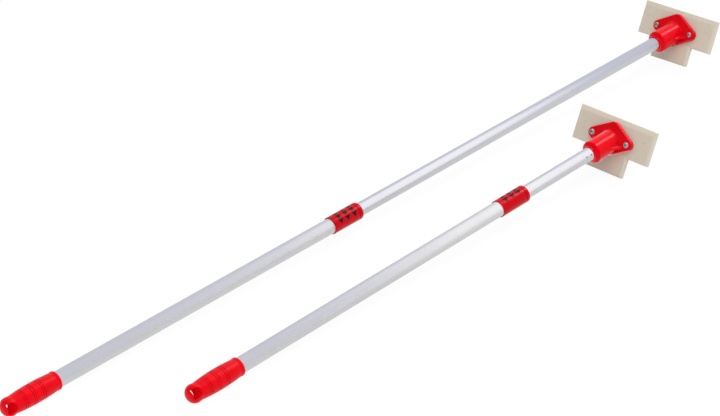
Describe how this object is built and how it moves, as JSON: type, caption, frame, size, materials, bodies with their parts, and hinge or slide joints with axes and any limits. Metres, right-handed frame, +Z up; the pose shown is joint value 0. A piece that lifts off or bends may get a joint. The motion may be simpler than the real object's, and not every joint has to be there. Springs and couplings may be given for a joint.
{
  "type": "telescopic window cleaning pole set",
  "caption": "Telescopic window cleaning poles with twist-locked aluminium tubes, red hang-hole end grips, guide collars and leaning flanged sockets, each carrying a T-shaped pad block.",
  "frame": {"origin": "middle of the pair on the floor they lie on", "axes": "+X along the poles towards the T blocks, +Y to the left from the short pole to the long one, +Z up"},
  "size_m": [1.5285, 0.3277, 0.0876],
  "materials": {
    "red": "glossy moulded red",
    "alloy": "satin anodised, drawn lengthwise",
    "bright_alloy": "bright drawn",
    "lock": "dark grey moulded",
    "cam": "natural nylon",
    "steel": "zinc plated",
    "board": "beige, fine speckle"
  },
  "bodies": {
    "long_handle": {"long_end_grip": "red", "long_outer_tube": "alloy", "long_guide_collar": "red"},
    "long_cam": {"long_cam_ring": "cam"},
    "long_head_section": {"long_inner_tube": "bright_alloy", "long_lock_plug": "lock", "long_cam_washer": "steel", "long_cam_screw": "steel", "long_head_socket": "red", "long_flange_screws": "steel", "long_pad_block": "board"},
    "short_handle": {"short_end_grip": "red", "short_outer_tube": "alloy", "short_guide_collar": "red"},
    "short_cam": {"short_cam_ring": "cam"},
    "short_head_section": {"short_inner_tube": "bright_alloy", "short_lock_plug": "lock", "short_cam_washer": "steel", "short_cam_screw": "steel", "short_head_socket": "red", "short_flange_screws": "steel", "short_pad_block": "board"}
  },
  "joints": [
    {"name": "long_draw", "type": "slide", "parent": "long_handle", "child": "long_cam", "axis": [0.9997, 0, 0.025], "range_m": [-0.603, 0]},
    {"name": "long_twist", "type": "hinge", "parent": "long_cam", "child": "long_head_section", "pos_m": [-0.10089, 0.08471, 0.03122], "axis": [0.9997, 0, 0.025], "range_deg": [-30, 30]},
    {"name": "short_lift", "type": "slide", "parent": "long_handle", "child": "short_handle", "axis": [0, 0, 1], "range_m": [0, 0.4]},
    {"name": "short_draw", "type": "slide", "parent": "short_handle", "child": "short_cam", "axis": [0.9992, 0, 0.0397], "range_m": [-0.0305, 0.5725]},
    {"name": "short_twist", "type": "hinge", "parent": "short_cam", "child": "short_head_section", "pos_m": [-0.47371, -0.08579, 0.01759], "axis": [0.9992, 0, 0.0397], "range_deg": [-30, 30]}
  ]
}
